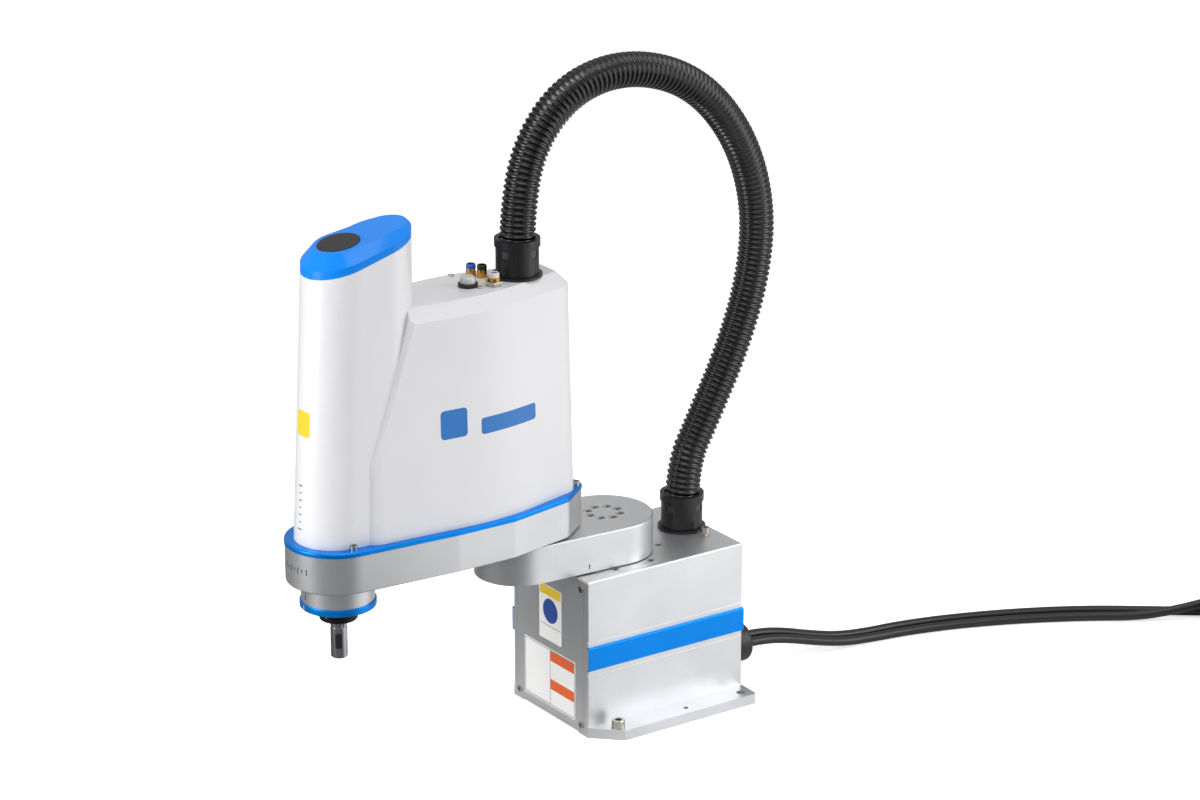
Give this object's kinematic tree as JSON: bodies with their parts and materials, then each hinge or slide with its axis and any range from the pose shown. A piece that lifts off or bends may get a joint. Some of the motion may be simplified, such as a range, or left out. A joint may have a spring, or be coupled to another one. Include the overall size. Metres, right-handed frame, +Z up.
{
  "type": "scara robot",
  "caption": "Table robot with a square base, jointed level arms, white column cover with a blue cap, splined lift shaft and a looped cable conduit.",
  "frame": {"origin": "centre of the four base mounting holes on the underside of the base", "axes": "+X forward along the stretched arms, +Y to the robot's left, +Z up along the lift shaft"},
  "size_m": [1.0795, 0.4542, 0.6549],
  "materials": {
    "anodised_aluminium": "bead blasted, clear anodised",
    "cast_aluminium": "fine blasted casting",
    "blue_trim": "satin blue",
    "white_cover": "smooth white moulding",
    "blue_cap": "smooth blue moulding",
    "black_plastic": "fine texture",
    "conduit": "ribbed nylon",
    "cable_jacket": "smooth jacket",
    "rubber_seal": "soft",
    "screw_steel": "zinc plated",
    "bearing_steel": "ground",
    "shaft_steel": "ground and polished",
    "black_steel": "black oxide",
    "motor_black": "satin black",
    "reducer_steel": "machined",
    "brass": "machined",
    "belt_rubber": "toothed belt",
    "lamp_lens": "clear dome",
    "connector_metal": "nickel plated"
  },
  "bodies": {
    "base": {"base_housing": "anodised_aluminium", "base_front_cover": "anodised_aluminium", "base_front_screws": "screw_steel", "base_rear_cover": "anodised_aluminium", "base_rear_screws": "screw_steel", "side_strip_left": "blue_trim", "side_strip_right": "blue_trim", "strip_rails": "anodised_aluminium", "shoulder_bearing_ring": "anodised_aluminium", "shoulder_ring_screws": "screw_steel", "shoulder_reducer": "reducer_steel", "shoulder_motor": "motor_black", "base_conduit_gland": "black_plastic", "rear_cable_gland": "black_plastic", "gland_seal": "rubber_seal", "ground_screw": "screw_steel", "conduit_lower": "conduit", "power_cable": "cable_jacket", "signal_cable": "cable_jacket", "power_cable_coil": "cable_jacket", "signal_cable_coil": "cable_jacket", "power_connector": "connector_metal", "signal_connector": "connector_metal"},
    "inner_arm": {"inner_arm": "anodised_aluminium", "shoulder_hub": "bearing_steel", "inner_arm_screws": "screw_steel", "elbow_hub": "bearing_steel"},
    "outer_arm": {"outer_arm_casting": "cast_aluminium", "arm_trim_plate": "blue_trim", "trim_screws": "screw_steel", "neck_ring": "blue_trim", "neck_ring_screws": "screw_steel", "elbow_bearing_ring": "bearing_steel", "elbow_reducer": "reducer_steel", "elbow_motor": "motor_black", "spline_nut_bearings": "bearing_steel", "ball_nut_bearings": "bearing_steel", "ball_nut_bracket": "cast_aluminium", "lift_motor": "motor_black", "rotation_motor": "motor_black", "lift_belt": "belt_rubber", "rotation_belt": "belt_rubber", "arm_cover": "white_cover", "column_cap": "blue_cap", "column_cap_plug": "black_plastic", "blue_air_fitting": "brass", "black_air_fitting": "brass", "white_air_fitting": "brass", "status_lamp_base": "black_plastic", "status_lamp_lens": "lamp_lens", "cover_screws": "screw_steel", "arm_conduit_gland": "black_plastic", "conduit_upper": "conduit"},
    "spline_nut": {"spline_nut": "bearing_steel"},
    "ball_nut": {"ball_nut": "bearing_steel"},
    "lift_motor_pulley": {"lift_motor_pulley": "anodised_aluminium"},
    "rotation_motor_pulley": {"rotation_motor_pulley": "anodised_aluminium"},
    "shaft": {"spline_shaft": "shaft_steel", "stop_collar": "black_steel", "shaft_top_collar": "black_steel"}
  },
  "joints": [
    {"name": "shoulder", "type": "hinge", "parent": "base", "child": "inner_arm", "pos_m": [0.036, 0, 0.16], "axis": [0, 0, 1], "range_deg": [-130, 130], "deforming": ["conduit_lower"]},
    {"name": "elbow", "type": "hinge", "parent": "inner_arm", "child": "outer_arm", "pos_m": [0.136, 0, 0.2], "axis": [0, 0, -1], "range_deg": [-140, 140], "deforming": ["conduit_upper"]},
    {"name": "rotation", "type": "hinge", "parent": "outer_arm", "child": "spline_nut", "pos_m": [0.336, 0, 0.2], "axis": [0, 0, 1], "range_deg": [-360, 360]},
    {"name": "lift", "type": "slide", "parent": "spline_nut", "child": "shaft", "axis": [0, 0, 1], "range_m": [-0.15, 0]},
    {"name": "ball_nut_turn", "type": "hinge", "parent": "outer_arm", "child": "ball_nut", "pos_m": [0.336, 0, 0.27], "axis": [0, 0, 1], "range_deg": [-0.5, 2700.5]},
    {"name": "lift_motor_turn", "type": "hinge", "parent": "outer_arm", "child": "lift_motor_pulley", "pos_m": [0.288, 0, 0.29], "axis": [0, 0, 1], "range_deg": [-1, 5401]},
    {"name": "rotation_motor_turn", "type": "hinge", "parent": "outer_arm", "child": "rotation_motor_pulley", "pos_m": [0.244, 0, 0.22], "axis": [0, 0, 1], "range_deg": [-721, 721]}
  ],
  "couplings": [
    {"joint": "ball_nut_turn", "follows": "lift", "rad_per_m": -314.16},
    {"joint": "lift_motor_turn", "follows": "lift", "rad_per_m": -628.32},
    {"joint": "rotation_motor_turn", "follows": "rotation", "ratio": 2}
  ]
}
